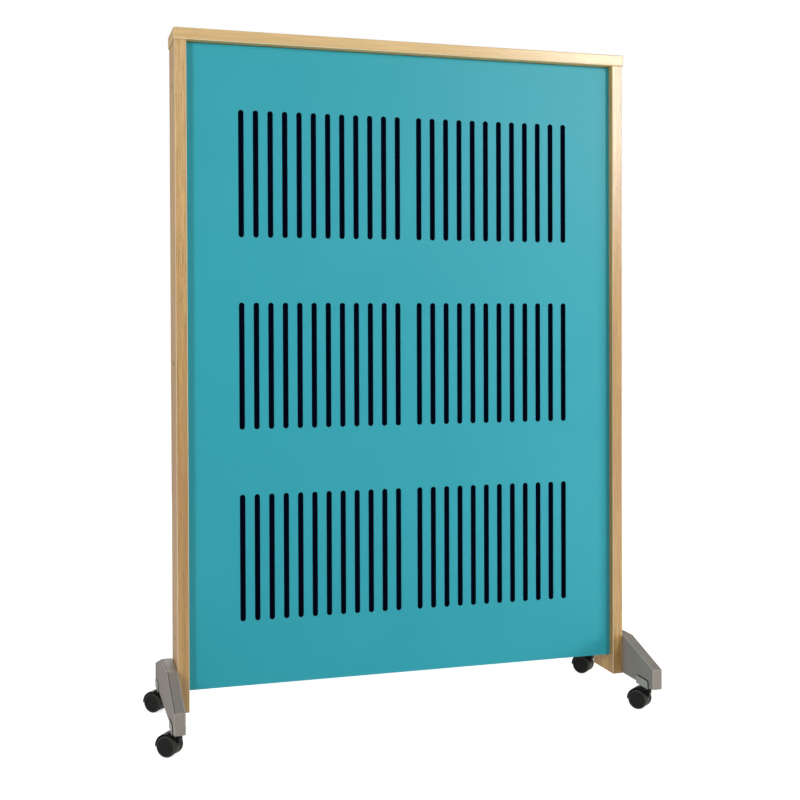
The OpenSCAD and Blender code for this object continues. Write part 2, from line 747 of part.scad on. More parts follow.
// The outer wheel is the one that shows its disc at the front, on the axle's -Y end
module wheel(sx, sy, outer) {
    color(caster_black) at_caster(sx, sy) mirror([0, outer ? 1 : 0, 0])
        about_axle() translate([0, 0, wheel_gap / 2]) wheel_body();
}

// ---------------------------------------------------------------- the object

side_board(-1);  // left_side_board
side_board(1);  // right_side_board
cap_rail();
panel(-1);  // front_panel
panel(1);  // back_panel
fleece(-1);  // front_fleece
fleece(1);  // back_fleece
stile(-1);  // left_stile
stile(1);  // right_stile
batten(0);  // bottom_batten
batten(1);  // lower_cross_batten
batten(2);  // upper_cross_batten
batten(3);  // top_batten
absorber(0);  // bottom_absorber
absorber(1);  // middle_absorber
absorber(2);  // top_absorber
frame_dowels();
cap_dowels();
cap_screws();
side_board_screws();
foot(-1);  // left_foot
foot(1);  // right_foot
foot_bolts();
socket(-1, -1);  // fl_socket
socket(1, -1);  // fr_socket
socket(-1, 1);  // bl_socket
socket(1, 1);  // br_socket
stem(-1, -1);  // fl_stem
stem(1, -1);  // fr_stem
stem(-1, 1);  // bl_stem
stem(1, 1);  // br_stem
thrust_washers();
hood(-1, -1);  // fl_hood
hood(1, -1);  // fr_hood
hood(-1, 1);  // bl_hood
hood(1, 1);  // br_hood
axle(-1, -1);  // fl_axle
axle(1, -1);  // fr_axle
axle(-1, 1);  // bl_axle
axle(1, 1);  // br_axle
wheel(-1, -1, true);  // fl_wheel_outer
wheel(-1, -1, false);  // fl_wheel_inner
wheel(1, -1, true);  // fr_wheel_outer
wheel(1, -1, false);  // fr_wheel_inner
wheel(-1, 1, true);  // bl_wheel_outer
wheel(-1, 1, false);  // bl_wheel_inner
wheel(1, 1, true);  // br_wheel_outer
wheel(1, 1, false);  // br_wheel_inner
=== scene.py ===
# %% [markdown]
# # A rolling partition
#
# The object is a mobile room partition: two beech side boards under a cap rail, a turquoise
# slotted panel on each face, and two cast feet on twin-wheel casters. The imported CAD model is
# the fixed frame. It is loaded first, and everything made here is measured from it.
#
# The lesson goes from the camera to the pieces, then to one finish after another, and ends
# with the floor and the light. All lengths are metres, as Blender's are, so a size in
# millimetres is written as a number times MM.

import json
import math

import bmesh
import bpy
import numpy as np
from mathutils import Matrix, Vector

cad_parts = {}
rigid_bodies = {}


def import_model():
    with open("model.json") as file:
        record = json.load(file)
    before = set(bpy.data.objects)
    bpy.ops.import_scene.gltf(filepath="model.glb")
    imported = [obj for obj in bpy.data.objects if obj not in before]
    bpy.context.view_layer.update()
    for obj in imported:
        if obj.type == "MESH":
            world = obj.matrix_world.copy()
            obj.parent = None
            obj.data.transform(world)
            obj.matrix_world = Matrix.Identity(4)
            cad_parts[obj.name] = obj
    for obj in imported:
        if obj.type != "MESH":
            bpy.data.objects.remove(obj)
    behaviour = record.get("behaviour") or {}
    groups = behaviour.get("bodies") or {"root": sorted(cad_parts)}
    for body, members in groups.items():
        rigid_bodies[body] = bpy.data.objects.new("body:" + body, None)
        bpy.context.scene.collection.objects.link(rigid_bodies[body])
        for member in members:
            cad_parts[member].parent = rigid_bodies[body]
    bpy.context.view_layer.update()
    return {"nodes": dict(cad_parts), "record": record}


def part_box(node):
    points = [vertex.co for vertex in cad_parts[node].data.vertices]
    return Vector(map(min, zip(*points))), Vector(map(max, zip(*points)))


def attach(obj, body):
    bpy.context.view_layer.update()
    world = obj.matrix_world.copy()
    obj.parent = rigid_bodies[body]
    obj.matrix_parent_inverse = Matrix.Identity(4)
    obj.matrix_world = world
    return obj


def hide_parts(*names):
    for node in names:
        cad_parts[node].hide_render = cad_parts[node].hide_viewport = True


MM = 0.001
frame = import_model()
nodes = frame["nodes"]
joints = {joint["name"]: joint for joint in frame["record"]["behaviour"]["joints"]}

# %% [markdown]
# ## The camera
#
# The photograph was taken from a little left of the middle, at about waist height. A lens
# that is level shows the upright boards as upright lines. To keep the lens nearly level and
# still fit the object, a photographer raises or lowers the lens board, which Blender calls
# shift. Only a small shift is used here, because the other views keep it.
#
# Three turns place the camera: about Z for its heading, about its own X for its tilt, and
# about its line of sight for the slight roll of the picture.

# %% Camera
CAMERA_PLACE = Vector((-0.8021, -2.6792, 0.8758))
HEADING = math.radians(16.469)
TILT = math.radians(-0.623)
ROLL = math.radians(-0.2)
LENS_MM = 55.28
LENS_SHIFT = -0.075

camera = bpy.data.objects.new("camera", bpy.data.cameras.new("camera"))
bpy.context.scene.collection.objects.link(camera)
camera.data.lens = LENS_MM
camera.data.shift_y = LENS_SHIFT
camera.matrix_world = (Matrix.Translation(CAMERA_PLACE)
                       @ Matrix.Rotation(-HEADING, 4, "Z")
                       @ Matrix.Rotation(math.pi / 2 + TILT, 4, "X")
                       @ Matrix.Rotation(ROLL, 4, "Z"))
bpy.context.scene.camera = camera
print("camera at", [round(v, 3) for v in camera.matrix_world.translation])

# %% [markdown]
# ## Surfaces from arrays
#
# A modelled surface is a rule that gives a point for two numbers: how far along, and how far
# round. Worked out for whole arrays of such numbers at once, it is a grid of points. The
# faces of a grid are always the same, so one helper makes them.
#
# Grids that meet share their edge points. Welding makes each such pair one point, and where a
# grid shrinks to a pole, its four-cornered faces become triangles there.

# %% Grids and welding
TOUCHING = 1e-6


def grid(points, closed=False):
    """A grid of points with its faces; closed joins the last column to the first."""
    rows, columns = points.shape[:2]
    index = np.arange(rows * columns).reshape(rows, columns)
    if closed:
        index = np.hstack([index, index[:, :1]])
    corners = [index[:-1, :-1], index[:-1, 1:], index[1:, 1:], index[1:, :-1]]
    return points.reshape(-1, 3), np.stack(corners, -1).reshape(-1, 4)


def joined(patches):
    """Several patches as one: the points one after another, the faces counted on."""
    start = np.cumsum([0] + [len(points) for points, _ in patches])
    points = np.vstack([points for points, _ in patches])
    return points, [faces + first for (_, faces), first in zip(patches, start)]


def welded(points, face_blocks):
    """Points nearer than TOUCHING become one, and faces drop the corners they lose.

    The last result says which of the old points each new one was."""
    _, first, place = np.unique(np.round(points / TOUCHING).astype(np.int64), axis=0,
                                return_index=True, return_inverse=True)
    place = place.reshape(-1)
    faces = []
    for block in face_blocks:
        block = place[block]
        whole = (np.sort(block, 1)[:, 1:] != np.sort(block, 1)[:, :-1]).all(1)
        faces += block[whole].tolist()
        faces += [list(dict.fromkeys(face)) for face in block[~whole].tolist()]
    return points[first], [face for face in faces if len(face) > 2], first


print("welded within", TOUCHING / MM, "mm")


# %% From patches to a piece
def make_piece(name, patches, body, replaced, sharp=50, marks=None):
    """Builds a closed piece from patches, carried by a body, and hides the part it replaces.

    marks holds named numbers for each point, which a material can read back."""
    points, blocks = joined(patches)
    points, faces, kept = welded(points, blocks)
    mesh = bpy.data.meshes.new(name)
    mesh.from_pydata(points, [], faces)
    for mark, values in (marks or {}).items():
        mesh.attributes.new(mark, "FLOAT", "POINT").data.foreach_set("value", values[kept])
    shell = bmesh.new()
    shell.from_mesh(mesh)
    bmesh.ops.recalc_face_normals(shell, faces=shell.faces)
    shell.to_mesh(mesh)
    open_edges = sum(not edge.is_manifold for edge in shell.edges)
    shell.free()
    mesh.shade_smooth()
    mesh.set_sharp_from_angle(angle=math.radians(sharp))
    piece = bpy.data.objects.new(name, mesh)
    bpy.context.scene.collection.objects.link(piece)
    normals = piece.modifiers.new("even shading", "WEIGHTED_NORMAL")
    normals.keep_sharp = True
    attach(piece, body)
    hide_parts(replaced)
    print(name, "faces:", len(faces), "open edges:", open_edges)
    return piece


# %% [markdown]
# ## The slotted panels
#
# Each panel is a fibreboard, 8 mm thick, with three rows of slots cut by a router and then
# lacquered. A router bit leaves a round-ended slot, and sanding before the lacquer rolls its
# arris. That soft edge catches the light, and a plain boolean cut would miss it.
#
# A boolean could cut the slots, and a bevel could round them, but 72 cuts with bevels leave
# a ragged mesh. Here each slot gets its own patch. Its columns go round the slot. Its rows
# go from a rectangle on the face in to the slot, over the arris, down the wall, and out
# again on the back. The slots are all alike, so one patch is moved to all the places.

# %% Slot sizes
SLOT_W = 12 * MM
SLOT_L = 275 * MM
SLOT_PITCH = 32 * MM
HALF_GAP = 50 * MM
ROW_STEP = 416 * MM
SLOTS_PER_HALF = 12
ARRIS = 0.5 * MM
EDGE_ROUND = 0.9 * MM

panel_low, panel_high = (np.array(corner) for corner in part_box("front_panel"))
rail_low, rail_high = (np.array(corner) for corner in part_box("cap_rail"))
panel_t = panel_high[1] - panel_low[1]
middle_z = (panel_low[2] + rail_low[2]) / 2
half_places = HALF_GAP / 2 + SLOT_PITCH * np.arange(SLOTS_PER_HALF)
slot_x = np.concatenate([-half_places[::-1], half_places])
slot_z = middle_z + ROW_STEP * np.array([-1, 0, 1])
print("panel thickness:", round(panel_t / MM, 2), "mm, slots:", slot_x.size * slot_z.size)

# %% One slot's patch
END_POINTS = 17  # on each round end of a slot
half_turn = np.radians(np.linspace(0, 180, END_POINTS))
round_angles = np.concatenate([half_turn, half_turn + math.pi])
end_shift = np.repeat([1, -1], END_POINTS) * (SLOT_L - SLOT_W) / 2
to_square = 1 / np.maximum(abs(np.cos(round_angles)), abs(np.sin(round_angles)))
cell = SLOT_PITCH / 2


def slot_rings():
    """Distance out from the slot's end centres, and depth, for each ring of the patch.

    From the face to the wall a quarter circle of radius ARRIS is followed: at angle q the
    distance is half the slot + ARRIS (1 - sin q), and the depth is ARRIS (1 - cos q). The
    first ring, on the face, and the last, on the back, are the rectangle round the slot."""
    q = np.radians([0, 25, 50, 70, 90])
    distance = np.append(SLOT_W / 2 + ARRIS * (1 - np.sin(q)), SLOT_W / 2)
    square = cell * to_square
    reach = np.vstack([square, np.tile(distance[:, None], len(round_angles)), square])
    return reach, np.concatenate([[0], ARRIS * (1 - np.cos(q)), [panel_t, panel_t]])


reach, ring_depth = slot_rings()
patch_x = reach * np.cos(round_angles)
patch_z = reach * np.sin(round_angles) + end_shift
print("rings:", len(ring_depth), "points round a slot:", len(round_angles))

# %% [markdown]
# The rest of the face is a grid of straight lines. Its lines pass through the points on
# the slots' rectangles, so that nothing meets halfway along an edge. The squares of the
# grid that lie under the slots' patches are left out.
#
# The grid's lines follow from the slot's angles. They are 11.25 degrees apart, so 9 of them,
# from 45 to 135 degrees, meet the rectangle's upper side, and 5, from 0 to 45, half of an
# upright side.

# %% The lines of the grid
TOP_ANGLES = np.radians(np.linspace(45, 135, 9))
SIDE_ANGLES = np.radians(np.linspace(0, 45, 5))
NANOMETRE_DIGITS = 9


def through(places, steps, ends):
    """The lines at every step from every place, and at both ends, without doubles."""
    lines = np.concatenate([(places[:, None] + steps).ravel(), ends])
    return np.unique(np.round(lines, NANOMETRE_DIGITS))


x_lines = through(slot_x, cell / np.tan(TOP_ANGLES), [panel_low[0], panel_high[0]])
side_steps = (SLOT_L - SLOT_W) / 2 + cell * np.tan(SIDE_ANGLES)
z_lines = through(slot_z, np.concatenate([-side_steps, side_steps]),
                  [panel_low[2] + EDGE_ROUND, panel_high[2] - EDGE_ROUND])
print("lines of the grid:", len(x_lines), "upright,", len(z_lines), "level")


# %% The panel round the slots
def between_slots(depth, side, face_y):
    """The flat grid at one depth, without the squares that the slots' patches cover."""
    x, z = np.meshgrid(x_lines, z_lines)
    points = np.stack([x, np.full_like(x, side * (face_y - depth)), z], -1)
    points, faces = grid(points)
    centre = points[faces].mean(1)
    past = (abs(centre[:, 0]) > HALF_GAP / 2 - cell) & (abs(centre[:, 0]) < slot_x[-1] + cell)
    in_row = (abs(centre[:, 2, None] - slot_z) < (SLOT_L - SLOT_W) / 2 + cell).any(1)
    return points, faces[~(past & in_row)]


def edge_strip(z, outward, side, face_y):
    """The panel's lower or upper edge: quarter circles of radius EDGE_ROUND at both faces,
    carried along all the grid's upright lines."""
    q = np.radians([0, 30, 60, 90])
    bend = EDGE_ROUND * (1 - np.cos(q))
    depth = np.concatenate([bend, panel_t - bend[::-1]])
    inward = EDGE_ROUND * (1 - np.sin(np.concatenate([q, q[::-1]])))
    x = np.broadcast_to(x_lines, (len(depth), len(x_lines)))
    y = np.broadcast_to(side * (face_y - depth)[:, None], x.shape)
    height = np.broadcast_to((z - outward * inward)[:, None], x.shape)
    return np.stack([x, y, height], -1)


# %% [markdown]
# Each patch also carries two marks for the lacquer: one on rolled arrises and one on the
# walls of the slots. A slot's eight rings lie on the face, over the arris, down the wall
# and on the back, and RING_MARKS says for each whether it is on an arris or on a wall.

# %% Both panels
RING_MARKS = np.array([[0, 0], [0, 0], [1, 0], [1, 0], [1, 0], [0, 1], [0, 1], [0, 0.0]])
ON_ARRIS = [1.0, 0.0]
PLAIN = [0.0, 0.0]


def slotted_panel(name, replaced, side):
    """A panel with its 72 slots; side is -1 for the front panel and 1 for the back one."""
    face_y = -panel_low[1]
    patches, marks = [], []

    def lay(patch, mark):
        patches.append(patch)
        marks.append(np.tile(mark, (len(patch[0]), 1)) if np.ndim(mark) == 1 else mark)

    for depth in (0, panel_t):
        lay(between_slots(depth, side, face_y), PLAIN)
    for z, outward in ((panel_low[2], -1), (panel_high[2], 1)):
        strip = edge_strip(z, outward, side, face_y)
        lay(grid(strip), ON_ARRIS)
        for end in (0, -1):
            lay((strip[:, end], np.arange(len(strip))[None]), PLAIN)
    for x in (x_lines[0], x_lines[-1]):
        y, z = np.meshgrid(side * (face_y - np.array([0, panel_t])), z_lines)
        lay(grid(np.stack([np.full_like(y, x), y, z], -1)), PLAIN)
    slot_marks = np.repeat(RING_MARKS, len(round_angles), axis=0)
    y = np.broadcast_to(side * (face_y - ring_depth)[:, None], patch_x.shape)
    for x in slot_x:
        for z in slot_z:
            lay(grid(np.stack([patch_x + x, y, patch_z + z], -1), closed=True), slot_marks)
    marks = np.concatenate(marks)
    return make_piece(name, patches, "partition", replaced,
                      marks={"arris": marks[:, 0], "wall": marks[:, 1]})


panels = [slotted_panel("slotted_panel_front", "front_panel", -1),
          slotted_panel("slotted_panel_back", "back_panel", 1)]

# %% [markdown]
# ## The wheels
#
# A caster wheel of this kind is moulded in one piece: a disc with a raised hub cap, a bead
# where the disc meets the rim, a rounded shoulder, and a tread that is very slightly crowned.
# Inside it is hollow, with a hub and thin ribs. All but the ribs is round, so a wheel is a
# profile carried round the axle, as on a lathe. The tread is crowned by a parabola.
#
# Each axle's place and direction come from the record's joints, so the new wheels turn
# exactly where the CAD wheels do.

# %% Wheel sizes
WHEEL_R = joints["fl_outer_spin"]["pos_m"][2]
WHEEL_W = 10.5 * MM
HALF_WEB = 7 * MM  # from the caster's middle to a wheel
RIM_T = 3.5 * MM
SHOULDER = 1.9 * MM
CROWN = 0.25 * MM
DISH = 0.8 * MM  # the disc lies this far below the rim
DISC_HOLLOW = 0.12 * MM
CAP_R = 4.2 * MM
CAP_RISE = 0.55 * MM
CAP_BALL = 24 * MM
CAP_GROOVE = 0.35 * MM
HUB_R = 6.5 * MM
BORE_R = 3.05 * MM
BORE_DEEP = 7.5 * MM
WHEEL_STEPS = 96
print("wheel:", round(2 * WHEEL_R / MM, 1), "by", round(WHEEL_W / MM, 1), "mm")


# %% The wheel's profile
def arc(centre, radius, start, stop, steps=6):
    """Points (distance, height) on a circle about centre, from one angle to another."""
    angle = np.radians(np.linspace(start, stop, steps))
    return np.stack([centre[0] + radius * np.cos(angle), centre[1] + radius * np.sin(angle)], 1)


def wheel_face(face):
    """The outer side, from the middle outwards: a cap that is part of a ball, a groove round
    it, a disc hollowed by half a sine wave, a bead of 0.9 mm, and the shoulder."""
    cap_angle = math.degrees(CAP_R / CAP_BALL)
    cap = arc((0, face + CAP_RISE - CAP_BALL), CAP_BALL, 90, 90 - cap_angle, 5)
    floor = face - CAP_GROOVE
    groove = [[CAP_R + 0.25 * MM, face + 0.02 * MM], [CAP_R + 0.3 * MM, floor],
              [CAP_R + 0.8 * MM, floor], [CAP_R + 0.9 * MM, face]]
    r = np.array([7, 9, 11, 13, 15, 17, 17.9])
    disc = np.stack([r * MM, face - DISC_HOLLOW * np.sin(np.pi * (r - 5.5) / 12.6)], 1)
    bead = arc((WHEEL_R - SHOULDER - 1.1 * MM, face - 0.2 * MM), 0.9 * MM, 170, 60, 7)
    shoulder = arc((WHEEL_R - SHOULDER, WHEEL_W - SHOULDER), SHOULDER, 80, 4, 8)
    return np.vstack([cap, groove, disc, bead, shoulder])


def wheel_profile():
    """Half section, from the middle of the outer face over the tread to the bore's end.

    The first number is the distance from the axle, the second the height above the web."""
    across = np.linspace(-1, 1, 9)[::-1]
    tread_w = WHEEL_W - SHOULDER - 1.4 * MM
    tread = np.stack([WHEEL_R - CROWN * across ** 2,
                      1.2 * MM + tread_w * (across + 1) / 2], 1)
    inner_edge = arc((WHEEL_R - 1.2 * MM, 1 * MM), 1 * MM, 0, -90, 5)
    rim_in = WHEEL_R - RIM_T
    disc_in = WHEEL_W - RIM_T
    inside = [[rim_in, 0], [rim_in + 0.3 * MM, disc_in], [HUB_R, disc_in], [HUB_R, 0],
              [BORE_R, 0], [BORE_R, BORE_DEEP], [0, BORE_DEEP]]
    return np.vstack([wheel_face(WHEEL_W - DISH), tread, inner_edge, inside])


profile = wheel_profile()
print("wheel profile points:", len(profile), "widest:", round(profile[:, 0].max() / MM, 2), "mm")

# %% [markdown]
# Inside a wheel, six thin ribs join hub and rim. One rib is a box of eight corners, turned
# to all six places, with its ends sunk in hub and rim.

# %% Turn the profile and the ribs about an axle
RIBS = 6
RIB_T = 1.4 * MM
RIB_FROM = 5 * MM  # from the axle
RIB_LOW = 2 * MM  # above the web
BOX_WALLS = np.array([[0, 1, 3, 2], [4, 6, 7, 5], [0, 4, 5, 1],
                      [2, 3, 7, 6], [0, 2, 6, 4], [1, 5, 7, 3]])


def across_axle(axis):
    """Two directions at right angles to the axle and to each other: up, and level."""
    up = Vector((0, 0, 1))
    return np.array(up), np.array(Vector(axis).cross(up).normalized())


def turned(outline, centre, axis):
    """Carries an outline round an axis: centre + height * axis + distance * (cos t * up +
    sin t * level), where up and level are the two directions across the axis."""
    up, level = across_axle(axis)
    t = np.linspace(0, 2 * np.pi, WHEEL_STEPS, endpoint=False)
    round_axis = np.cos(t)[:, None] * up + np.sin(t)[:, None] * level
    return (np.array(centre) + outline[:, None, 1:] * np.array(axis)
            + outline[:, None, :1] * round_axis)


def wheel_ribs(centre, axis):
    """Six boxes between hub and rim, each turned by a sixth of a turn from the last."""
    box = np.meshgrid([RIB_FROM, WHEEL_R - RIM_T / 2], [-RIB_T / 2, RIB_T / 2],
                      [RIB_LOW, WHEEL_W - RIM_T / 2], indexing="ij")
    radial, across, height = (part.reshape(-1, 1) for part in box)
    up, level = across_axle(axis)
    patches = []
    for angle in np.arange(RIBS) * 2 * np.pi / RIBS:
        out = math.cos(angle) * up + math.sin(angle) * level
        along = -math.sin(angle) * up + math.cos(angle) * level
        corners = np.array(centre) + radial * out + across * along + height * np.array(axis)
        patches.append((corners, BOX_WALLS))
    return patches


print("ribs in a wheel:", RIBS, "of", RIB_T / MM, "mm")

# %% [markdown]
# The wheels carry two marks. The mark "tread" rises from 0 to 1 from 1.2 to 0.5 mm inside
# the widest line, and out there the floor's dust is ground in. The mark "bead" is 1 on the
# ring of bead and shoulder round the disc, which is glossier and gets a lighter painted highlight.

# %% All eight wheels
TREAD_FROM, TREAD_FADE = WHEEL_R - 1.2 * MM, 0.7 * MM
BEAD_AT, BEAD_REACH = WHEEL_R - 2.1 * MM, 1.1 * MM
BEAD_LOW = WHEEL_W - 1.2 * MM

from_axle, above_web = profile.T
on_bead = (abs(from_axle - BEAD_AT) < BEAD_REACH) & (above_web > BEAD_LOW)
wear_and_highlight = {"tread": np.clip((from_axle - TREAD_FROM) / TREAD_FADE, 0, 1),
        "bead": on_bead.astype(float)}

for corner in ("fl", "fr", "bl", "br"):
    for which, direction in (("outer", -1), ("inner", 1)):
        joint = joints[f"{corner}_{which}_spin"]
        axis = np.array(Vector(joint["axis"]).normalized()) * direction
        start = np.array(joint["pos_m"]) + HALF_WEB * axis
        wheel = [grid(turned(profile, start, axis), closed=True)] + wheel_ribs(start, axis)
        marks = {mark: np.concatenate([np.repeat(values, WHEEL_STEPS), np.zeros(8 * RIBS)])
                 for mark, values in wear_and_highlight.items()}
        make_piece(f"{corner}_{which}_moulded_wheel", wheel, f"{corner}_{which}_wheel",
                   f"{corner}_wheel_{which}", sharp=40, marks=marks)

# %% [markdown]
# ## Finishes
#
# A finish is a network of nodes. One helper turns a colour as designers write it into the
# linear numbers that light is added up in. Another adds a node, with its settings and
# whatever feeds its sockets.
#
# A Mix node has more sockets than it shows. For colours, its share is socket 0, the colours
# are 6 and 7, and the result is output 2. For plain numbers they are 0, 2 and 3, and the
# result is output 0.
#
# Patterns are placed in Object coordinates, because a pattern in space runs on over the
# edges of a board as real grain does. They are counted in real millimetres: a step of 2 mm
# means that the pattern changes about every 2 mm, so a texture's own scale stays at 1.

# %% Colour and node helpers
COLOURS = {"data_type": "RGBA", "out": 2}


def linear(code):
    """An sRGB hex colour as linear red, green, blue and alpha."""
    levels = [int(code[i:i + 2], 16) / 255 for i in (1, 3, 5)]
    return [v / 12.92 if v <= 0.04045 else ((v + 0.055) / 1.055) ** 2.4 for v in levels] + [1.0]


def add(tree, kind, inputs=None, out=0, **settings):
    """Adds a node and hands back one of its outputs.

    Each input is a number, a hex colour, or the output that feeds it."""
    node = tree.nodes.new(kind)
    for name, value in settings.items():
        setattr(node, name, value)
    if kind.startswith("ShaderNodeTex") and "Scale" in node.inputs:
        node.inputs["Scale"].default_value = 1.0
    for name, value in (inputs or {}).items():
        if isinstance(value, bpy.types.NodeSocket):
            tree.links.new(value, node.inputs[name])
        else:
            node.inputs[name].default_value = linear(value) if isinstance(value, str) else value
    return node.outputs[out] if node.outputs else None


print("mid grey:", [round(v, 3) for v in linear("#808080")])


# %% Where on the object
def steps_of(tree, x, y=None, z=None):
    """Object coordinates, counted in steps of x, y and z millimetres, or all in steps of x."""
    place = add(tree, "ShaderNodeTexCoord", out="Object")
    scale = tuple(1 / (step * MM) for step in (x, y or x, z or x))
    return add(tree, "ShaderNodeMapping", {"Vector": place, "Scale": scale})


def along(tree, grain, width, length):
    """Steps of width across a wood's fibre and of length along it; grain is its axis, 0 or 2."""
    steps = [width, width, width]
    steps[grain] = length
    return steps_of(tree, *steps)


def in_mm(tree):
    """The outputs X, Y and Z: a point's place on the object in millimetres."""
    return add(tree, "ShaderNodeSeparateXYZ", {0: steps_of(tree, 1)}).node.outputs


def on_arris(tree, tilts):
    """1 on rounded edges, else 0.

    On an arris the surface's direction turns from one face to the next, so that its part
    along an axis lies between those of the two faces. tilts names, for each axis, the
    least and the most of that part."""
    normal = add(tree, "ShaderNodeNewGeometry", out="Normal")
    size = add(tree, "ShaderNodeVectorMath", {0: normal}, operation="ABSOLUTE")
    parts = add(tree, "ShaderNodeSeparateXYZ", {0: size}).node.outputs
    found = 0.0
    for axis, (least, most) in tilts.items():
        middle, reach = (least + most) / 2, (most - least) / 2
        turning = add(tree, "ShaderNodeMath", {0: parts[axis], 1: middle, 2: reach},
                      operation="COMPARE")
        found = add(tree, "ShaderNodeMath", {0: turning, 1: found}, operation="MAXIMUM")
    return found


# %% The start and the end of a finish
def new_finish(name):
    """An empty material and its node tree."""
    material = bpy.data.materials.new(name)
    material.use_nodes = True
    material.node_tree.nodes.clear()
    return material, material.node_tree


def finished(material, tone, gloss, settings, relief=None):
    """Brings colour, roughness and relief together in one shader, and sends it out.

    settings are the shader's own constants. relief is a pattern, how strongly it shows, and
    the depth in millimetres that it stands for."""
    tree = material.node_tree
    inputs = {"Base Color": tone, "Roughness": gloss, **settings}
    if relief:
        pattern, strength, depth = relief
        inputs["Normal"] = add(tree, "ShaderNodeBump", {"Height": pattern, "Strength": strength,
                                                        "Distance": depth * MM})
    shader = add(tree, "ShaderNodeBsdfPrincipled", inputs)
    add(tree, "ShaderNodeOutputMaterial", {"Surface": shader})
    print("finish", material.name, "with", len(tree.nodes), "nodes")
    return material


# %% [markdown]
# ### Beech-faced board
#
# The side boards and the rail are chipboard faced with a steamed beech foil, and their
# narrow faces carry a matching edging with eased arrises. Beech is plain and even: fine
# straight fibre, faint bands some centimetres wide, and many short darker flecks where the
# rays are cut. A melamine skin lies over it, so the grain shows in colour and hardly in
# relief. The skin is matt on the broad faces, and the edging on the narrow ones is glossier.
#
# Three patterns stretched along the fibre do it. The flecks are drawn about twice their real
# width, since real ones are finer than the picture can show.

# %% Grain of beech
BAND = {"width": 22, "length": 620}  # millimetres
FIBRE = {"width": 2.2, "length": 90}
FLECK = {"width": 3.4, "length": 15}


def beech_grain(tree, grain):
    """Broad bands, fine fibre and short flecks, each as strong as its pattern says."""
    bands = add(tree, "ShaderNodeTexNoise", {"Vector": along(tree, grain, **BAND),
                                             "Detail": 2.0, "Distortion": 0.5})
    fibre = add(tree, "ShaderNodeTexNoise", {"Vector": along(tree, grain, **FIBRE),
                                             "Detail": 4.0, "Roughness": 0.65})
    cells = add(tree, "ShaderNodeTexVoronoi", {"Vector": along(tree, grain, **FLECK)})
    core = add(tree, "ShaderNodeMapRange", {"Value": cells, "From Min": 0.12, "From Max": 0.3,
                                            "To Min": 1.0, "To Max": 0.0})
    depth = add(tree, "ShaderNodeMapRange", {"Value": fibre, "From Min": 0.4, "From Max": 0.6,
                                             "To Min": 0.1, "To Max": 0.75})
    flecks = add(tree, "ShaderNodeMath", {0: core, 1: depth}, operation="MULTIPLY")
    return bands, fibre, flecks


# %% [markdown]
# No two boards are quite alike, so the rail is lifted towards a lighter tone. The side
# boards turn darker and a little redder in a broad band about a third of the way up, fading
# out above and below. The eased arrises are glossier and carry a pale painted highlight. A
# hairline marks the glue joint of the edging, 2 mm in from the narrow faces.

# %% Beech-faced board
BEECH = {"pale": "#D2AC6E", "main": "#BA9053", "deep": "#9A6F39", "fleck": "#7A522C",
         "light": "#E3C27E", "darker_band": "#94632C", "arris": "#F3DFB8", "glue": "#6E4F31"}
DARKER_BAND_AT, DARKER_BAND_REACH, DARKER_BAND_SHARE = 560.0, 520.0, 0.5
ARRIS_HIGHLIGHT_SHARE = 0.9
GLUE_REACH, GLUE_SHARE = 0.35, 0.45
MATT, GLOSSY = 0.54, 0.24


def beech_board(name, grain, joint_y, lift):
    """grain is the axis of the fibre, 0 or 2; joint_y is where the edging is glued on; lift
    is how much paler this board is than the main tone."""
    material, tree = new_finish(name)
    bands, fibre, flecks = beech_grain(tree, grain)
    place = in_mm(tree)

    banded = add(tree, "ShaderNodeMapRange", {"Value": bands, "From Min": 0.35, "From Max": 0.65})
    fibrous = add(tree, "ShaderNodeMapRange", {"Value": fibre, "From Min": 0.42,
                                               "From Max": 0.66, "To Min": 0.0, "To Max": 0.75})
    # A broad band about 560 mm up turns the foil darker and redder, fading out above and below.
    off_darker_band = add(tree, "ShaderNodeMath", {0: place["Z"], 1: DARKER_BAND_AT}, operation="SUBTRACT")
    off_darker_band = add(tree, "ShaderNodeMath", {0: off_darker_band}, operation="ABSOLUTE")
    darker_band = add(tree, "ShaderNodeMapRange", {"Value": off_darker_band, "From Max": DARKER_BAND_REACH,
                                             "To Min": DARKER_BAND_SHARE, "To Max": 0.0})
    arris = on_arris(tree, {"X": (0.2, 0.98), "Y": (0.2, 0.98)})
    # Painted highlight: the arrises are mixed towards a pale colour.
    painted_highlight = add(tree, "ShaderNodeMath", {0: arris, 1: ARRIS_HIGHLIGHT_SHARE}, operation="MULTIPLY")
    off_middle = add(tree, "ShaderNodeMath", {0: place["Y"]}, operation="ABSOLUTE")
    at_joint = add(tree, "ShaderNodeMath", {0: off_middle, 1: joint_y / MM, 2: GLUE_REACH},
                   operation="COMPARE")
    glue = add(tree, "ShaderNodeMath", {0: at_joint, 1: GLUE_SHARE}, operation="MULTIPLY")

    tone = add(tree, "ShaderNodeMix", {0: banded, 6: BEECH["main"], 7: BEECH["pale"]}, **COLOURS)
    for share, colour in ((fibrous, "deep"), (flecks, "fleck"), (lift, "light"),
                          (darker_band, "darker_band"), (painted_highlight, "arris"), (glue, "glue")):
        tone = add(tree, "ShaderNodeMix", {0: share, 6: tone, 7: BEECH[colour]}, **COLOURS)

    narrow = add(tree, "ShaderNodeMath", {0: off_middle, 1: joint_y / MM},
                 operation="GREATER_THAN")
    gloss = add(tree, "ShaderNodeMix", {0: narrow, 2: MATT, 3: GLOSSY})
    gloss = add(tree, "ShaderNodeMath", {0: fibre, 1: 0.12, 2: gloss}, operation="MULTIPLY_ADD")
    gloss = add(tree, "ShaderNodeMix", {0: arris, 2: gloss, 3: GLOSSY})
    return finished(material, tone, gloss, {"IOR": 1.65}, relief=(fibre, 0.35, 0.05))


